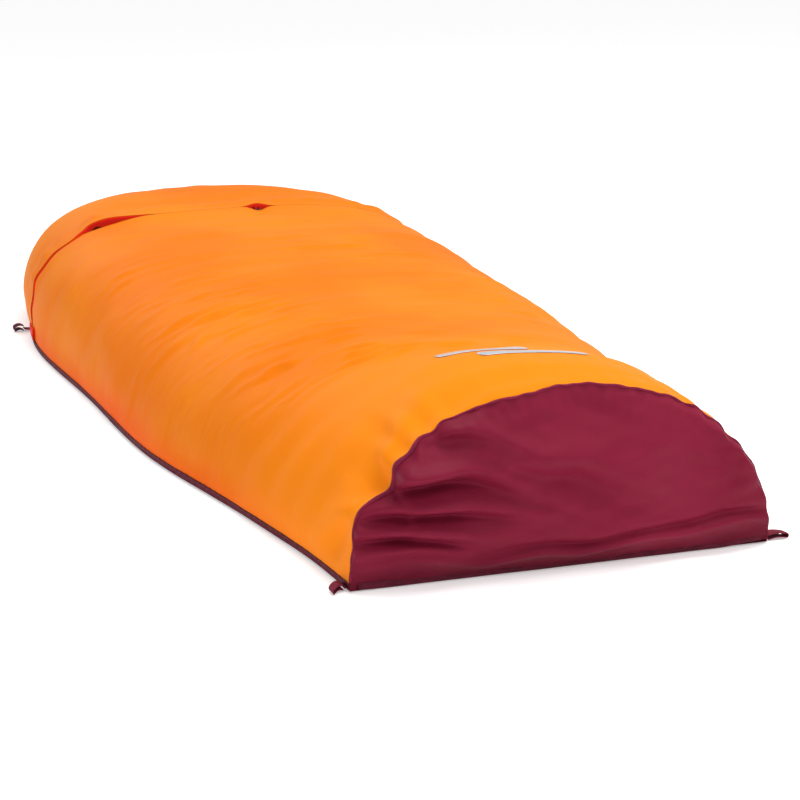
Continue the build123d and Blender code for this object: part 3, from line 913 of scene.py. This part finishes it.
# ---- folded band along the bottom of the foot panel ----
band_columns = slice(2, COLUMNS - 2)
band_x = foot_grid[0, band_columns, 0] * 0.993
band_rows = []
for z, out in ((0.0008, 0.0004), (0.002, 0.0022), (0.006, 0.0027), (0.010, 0.0022), (0.0118, 0.0006)):
    wave = 0.0005 * np.sin(band_x * 2 * math.pi / 0.026 + z * 300)
    lift = 0.004 * smooth_step(band_x, 0.22, 0.30)
    band_rows.append(np.stack([band_x, -HALF - out + wave, z + lift * (1 - z / 0.05)], -1))
foot_band = make_sheet("foot_floor_band", np.stack(band_rows), BINDING)
subdivide(foot_band)
thicken(foot_band, 0.0008, 1.0)


# ---- seam tapes on the inside ----
def tape_from(name, grid, normal, rows, columns, inset=0.0018):
    band = grid[rows, columns] - normal[rows, columns] * inset
    band[..., 2] = np.maximum(band[..., 2], ABOVE_RIM)
    piece = make_sheet(name, band, TAPE)
    thicken(piece, 0.0004, -1.0)
    return piece


tape_columns = 4
skip_foot = int(0.024 / canopy_step) + 1
skip_lip = int(0.060 / canopy_step) + 1
canopy_normal = outward(canopy_grid)
canopy_rows_taped = slice(skip_foot, -skip_lip)
hood_rows_taped = slice(int(0.060 / hood_step) + 1, -2)
side_tapes = []
for side, columns in (("right", slice(0, tape_columns)), ("left", slice(-tape_columns, None))):
    side_tapes += [
        tape_from(f"canopy_floor_tape_{side}", canopy_grid, canopy_normal, canopy_rows_taped, columns),
        tape_from(f"hood_floor_tape_{side}", hood_grid, hood_out, hood_rows_taped, columns),
    ]
foot_tape = tape_from(
    "foot_arch_tape", canopy_grid, canopy_normal, slice(0, skip_foot), slice(2, -2), 0.0024
)


# ---- two plain reflective bars, laid on the canopy ----
def laid_patch(name, left, right, near, far, material, lift, thickness):
    columns, rows = max(int((right - left) / 0.005), 4), max(int((far - near) / 0.004), 4)
    points = []
    for j in range(rows + 1):
        for i in range(columns + 1):
            u, v = i / columns, j / rows
            # rounded ends
            trim = 0.006 * (abs(2 * v - 1) ** 4) * (1 if u in (0, 1) else 0)
            x = left + (right - left) * u + (trim if u == 0 else -trim if u == 1 else 0)
            y = near + (far - near) * v
            place, normal, _, _ = canopy_skin.ray_cast(Vector((x, y, 0.5)), Vector((0, 0, -1)))
            points.append(tuple(place + normal * lift))
    piece = make_object(name, points, grid_faces(rows + 1, columns + 1), material)
    thicken(piece, thickness, 1.0)
    return piece


bar_low, bar_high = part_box("reflective_bars")
near_bar = laid_patch(
    "reflective_bar_near", bar_low.x + 0.040, bar_high.x, bar_low.y, bar_low.y + 0.026,
    REFLECTIVE, 0.0007, 0.0004,
)
far_bar = laid_patch(
    "reflective_bar_far", bar_low.x, bar_high.x - 0.070, bar_high.y - 0.038, bar_high.y,
    REFLECTIVE, 0.0007, 0.0004,
)

# ---- patches over the two ends of the mouth ----
patch_low, patch_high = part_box("mouth_corner_patches")
corner_patches = []
for side, sign in (("right", 1), ("left", -1)):
    rows = []
    for y in np.linspace(patch_low.y, patch_high.y, 17):
        half_width, height, across, upwards = profile(y + HALF)
        row = []
        for z in np.linspace(patch_low.z, patch_high.z, 8):
            x = half_width * (1 - (z / height) ** upwards) ** (1 / across) * drawn_in(y + HALF, z)
            puff = 0.0012 * math.sin(math.pi * (z - 0.012) / 0.022)
            row.append((sign * (x + 0.0020 + puff + 0.0003 * math.sin(y * 900)), y, z))
        rows.append(row)
    grid = np.array(rows)
    piece = make_sheet(f"mouth_corner_patch_{side}", grid, GLOWING_RED_CLOTH)
    thicken(piece, 0.0009, 0.0)
    outline = np.concatenate([grid[1:-1, 1], grid[-2, 1:-1], grid[1:-1, -2][::-1], grid[1, 1:-1][::-1]])
    outline[:, 0] += sign * 0.0008
    sewing = stitches(f"mouth_corner_sewing_{side}", outline, 0.0034, 0.0025, 0.00038, THREAD)
    corner_patches += [piece, sewing]

# ---- care label ----
label_low, label_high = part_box("care_label")
label_y = np.linspace(label_low.y + 0.001, label_high.y, 20)
label_y, label_x = np.meshgrid(label_y, np.linspace(label_low.x, label_high.x, 12), indexing="ij")
label_rise = 0.006 * ((label_y - label_low.y) / (label_high.y - label_low.y)) ** 2
label_grid = np.stack([label_x, label_y, 0.0026 + label_rise + 0.0012 * np.sin(label_x * 260)], -1)
care_label = make_sheet("care_label_cloth", label_grid, LABEL)
thicken(care_label, 0.0004, 0.0)


# ---- stake loops: webbing folded over and tacked to the corner ----
def webbing_loop(name, low, high, sign, material, droop, sweep, slant, length, loft):
    """A folded tab of webbing. It leaves the sack at the inner end and turns at the outer end."""
    inner = low.x if sign > 0 else high.x
    reach = ((high.x - low.x) - 0.002) * length
    middle_y, half_wide = (low.y + high.y) / 2, (high.y - low.y) / 2
    run = np.linspace(0, 1, 15)
    swell = 0.0016 * np.sin(math.pi * run)
    turn = np.linspace(-math.pi / 2, math.pi / 2, 9)[1:-1]
    path = [  # share of the reach, and height: out below, round the end, and back on top
        *zip(run, 0.0012 + swell),
        *zip(1 + 0.09 * np.cos(turn), 0.0035 + 0.0023 * np.sin(turn)),
        *zip(run[::-1], 0.0058 + swell[::-1] * (1 - droop)),
    ]
    rows = []
    for u, z in path:
        row = []
        for v in np.linspace(-1, 1, 9):
            edge = 0.0004 * (1 - v**4)
            x = inner + sign * (0.0008 + u * (reach - 0.0030))
            y = middle_y + v * half_wide * (1 - 0.10 * min(u, 1)) + sweep * min(u, 1.05) ** 1.5
            tilt = slant * v * half_wide * min(u, 1)
            row.append((x, y, max(z * loft + tilt + edge - 0.0002, 0.0008)))
        rows.append(row)
    piece = make_sheet(name, np.array(rows), material)
    subdivide(piece)
    thicken(piece, 0.0011, 0.0)
    return piece


LOOPS = (
    # node, body, side, cloth, then droop, sweep, slant, length and loft
    ("foot_left_stake_loop", "foot_left_loop", -1, WEBBING, 0.3, -0.012, 0.03, 0.60, 1.3),
    ("foot_right_stake_loop", "foot_right_loop", 1, WEBBING, 0.2, -0.002, -0.05, 0.95, 1.3),
    # the head loops take the darker copy of the webbing, painted shade
    ("head_left_stake_loop", "head_left_loop", -1, SHADED_WEBBING, 0.1, -0.003, 0.04, 0.62, 1.8),
    ("head_right_stake_loop", "head_right_loop", 1, SHADED_WEBBING, 0.3, 0.003, -0.03, 0.90, 1.3),
)
for node, body, sign, *shape in LOOPS:
    low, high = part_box(node)
    piece = webbing_loop(f"{body}_webbing", low, high, sign, *shape)
    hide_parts(node)
    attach(piece, body)

# each tab is held by a bar of close stitches beside the sack's edge
tack_pieces = []
for node, body, sign, *_ in LOOPS:
    low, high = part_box(node)
    inner = low.x if sign > 0 else high.x
    bar = []
    for i, y in enumerate(np.linspace(low.y + 0.001, high.y - 0.001, 34)):
        bar.append((inner - sign * (0.0030 if i % 2 else 0.0008), y, 0.0048))
    line = resample(np.array(bar), 0.0006)
    tack_pieces.append(tube(f"{body}_bar_tack", line, 0.0005, THREAD, 6))
    root = []
    for u in np.linspace(0, 1, 6):
        x = inner - sign * (0.0006 + u * 0.0150)
        root.append([(x, y, 0.0040 - 0.0012 * u) for y in np.linspace(low.y, high.y, 9)])
    base = make_sheet(f"{body}_tab_root", np.array(root), WEBBING)
    thicken(base, 0.0011, 0.0)
    tack_pieces.append(base)

# ---- drawcord in the hood's hem, its two legs and the knot ----
cord_line = row_at(hood_grid, 0.008 / hood_step) - row_at(hood_out, 0.008 / hood_step) * 0.0024
leg_low, leg_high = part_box("drawcord_knot")
lock_z = (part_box("cord_grommet")[0].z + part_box("cord_grommet")[1].z) / 2
knot_y = (leg_low.y + leg_high.y) / 2
cord_halves = []
for side, sign in (("right", 1), ("left", -1)):
    leg_x = LOCK_X + sign * 0.002
    keep = cord_line[:, 0] > leg_x if sign > 0 else cord_line[:, 0] < leg_x
    run = cord_line[keep]
    run = run[4:] if sign > 0 else run[:-4][::-1]
    leg = [(leg_x, y, lock_z) for y in np.linspace(0.5085, knot_y + 0.001, 12)]
    bend = run[-1] * 0.45 + np.array(leg[0]) * 0.55 + np.array([0, 0.001, 0])
    path = resample(np.concatenate([run, [bend], leg]), 0.002)
    for _ in range(3):
        path[1:-1] = (path[:-2] + path[1:-1] * 2 + path[2:]) / 4
    cord_halves.append(tube(f"drawcord_{side}", path, 0.00125, CORD, 10))

knot_turn = np.linspace(0, 2 * math.pi, 60, endpoint=False)
knot_centre = np.array([LOCK_X, knot_y, lock_z])
knot_path = knot_centre + 0.00062 * np.stack(
    [
        np.sin(knot_turn) + 2 * np.sin(2 * knot_turn),
        -np.sin(3 * knot_turn) * 1.2,
        np.cos(knot_turn) - 2 * np.cos(2 * knot_turn),
    ],
    -1,
)
knot = tube("drawcord_tied_knot", knot_path, 0.00105, CORD, 10, closed=True)

# ---- what rides where, and what each piece stands for ----
for piece in (canopy, canopy_hem, canopy_stitch):
    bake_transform(piece)
for piece in (hood, hood_hem, hood_stitch):
    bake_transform(piece)
for piece in (*cord_halves, knot):
    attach(piece, "hood_lip")
on_sack = [
    foot_end, floor, foot_piping, foot_stitch, edge_binding, foot_band, foot_tape, near_bar, far_bar,
    care_label, *floor_stitches, *side_tapes, *corner_patches, *tack_pieces,
]
for piece in on_sack:
    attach(piece, "sack")

STANDS_FOR = {
    "canopy_panel": canopy,
    "hood_panel": hood,
    "foot_panel": foot_end,
    "floor_panel": floor,
    "canopy_lip_hem": canopy_hem,
    "hood_lip_hem": hood_hem,
    "foot_arch_binding": foot_piping,
    "floor_edge_binding": edge_binding,
    "foot_floor_binding": foot_band,
    "floor_seam_tape": side_tapes[0],
    "foot_seam_tape": foot_tape,
    "reflective_bars": near_bar,
    "mouth_corner_patches": corner_patches[0],
    "care_label": care_label,
    "stake_loop_tacks": tack_pieces[0],
    "drawcord": cord_halves[0],
    "drawcord_knot": knot,
}
for node, piece in STANDS_FOR.items():
    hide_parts(node)

# the cord lock's spring, as a coil of steel wire built at the length of the CAD spring; the real coil
# shortens as the plunger is pressed in
low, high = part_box("cord_lock_spring")
wire = 0.0004
coil_end = Vector((low.x, (low.y + high.y) / 2, (low.z + high.z) / 2))
coil_radius = (high.y - low.y) / 2 - wire
share = np.linspace(0, 1, 73)
turn = 6 * math.pi * share
coil = np.array(coil_end) + np.stack(
    [wire + share * (high.x - low.x - 2 * wire), coil_radius * np.cos(turn), coil_radius * np.sin(turn)], -1
)
spring = tube("cord_lock_coil", coil, wire, STEEL, 8)
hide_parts("cord_lock_spring")
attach(spring, "hood_lip")
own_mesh(spring)

CAD_FINISH = {"cord_lock_barrel": LOCK, "cord_lock_plunger": LOCK, "cord_grommet": GROMMET}
for node, material in CAD_FINISH.items():
    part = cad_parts[node]
    part.data.materials.clear()
    part.data.materials.append(material)


# ---- floor, light and camera ----
def panel_light(name, location, target, size, power):
    data = bpy.data.lights.new(name, "AREA")
    data.shape = "RECTANGLE"
    data.size, data.size_y = size
    data.energy = power
    lamp = bpy.data.objects.new(name, data)
    lamp.location = location
    lamp.rotation_euler = (Vector(target) - Vector(location)).to_track_quat("-Z", "Y").to_euler()
    bpy.context.scene.collection.objects.link(lamp)


def studio():
    bpy.ops.mesh.primitive_plane_add(size=60, location=(0, 0, -0.0008))
    ground = bpy.context.object
    ground.name = "studio_floor"
    pale = {
        "Base Color": (0.93, 0.93, 0.935),
        "Roughness": 0.9,
        "Specular IOR Level": 0.1,
        "Emission Color": (1, 1, 1),
        "Emission Strength": 0.34,
    }
    ground.data.materials.append(Look("studio_floor").shade(pale))

    world = bpy.data.worlds.new("studio")
    bpy.context.scene.world = world
    world.use_nodes = True
    world.node_tree.nodes["Background"].inputs["Color"].default_value = (1.0, 1.0, 1.0, 1)
    world.node_tree.nodes["Background"].inputs["Strength"].default_value = 0.66

    panel_light("key", (0.5, -0.7, 3.0), (0, -0.1, 0.1), (1.4, 2.0), 66)
    panel_light("front", (1.4, -3.6, 3.2), (0.1, -0.9, 0.1), (1.2, 1.0), 34)
    panel_light("back", (-1.0, 3.6, 2.0), (0, 0.6, 0.2), (2.0, 1.2), 30)


def camera():
    data = bpy.data.cameras.new("camera")
    data.lens = 103.7
    data.sensor_width = 36
    data.clip_end = 100
    eye = bpy.data.objects.new("camera", data)
    eye.location = (-1.1966, -3.6878, 0.9649)
    eye.rotation_euler = (math.radians(90 - 14.34), 0, math.radians(-20.09))
    bpy.context.scene.collection.objects.link(eye)
    bpy.context.scene.camera = eye


studio()
camera()
bpy.context.scene.view_settings.view_transform = "Standard"
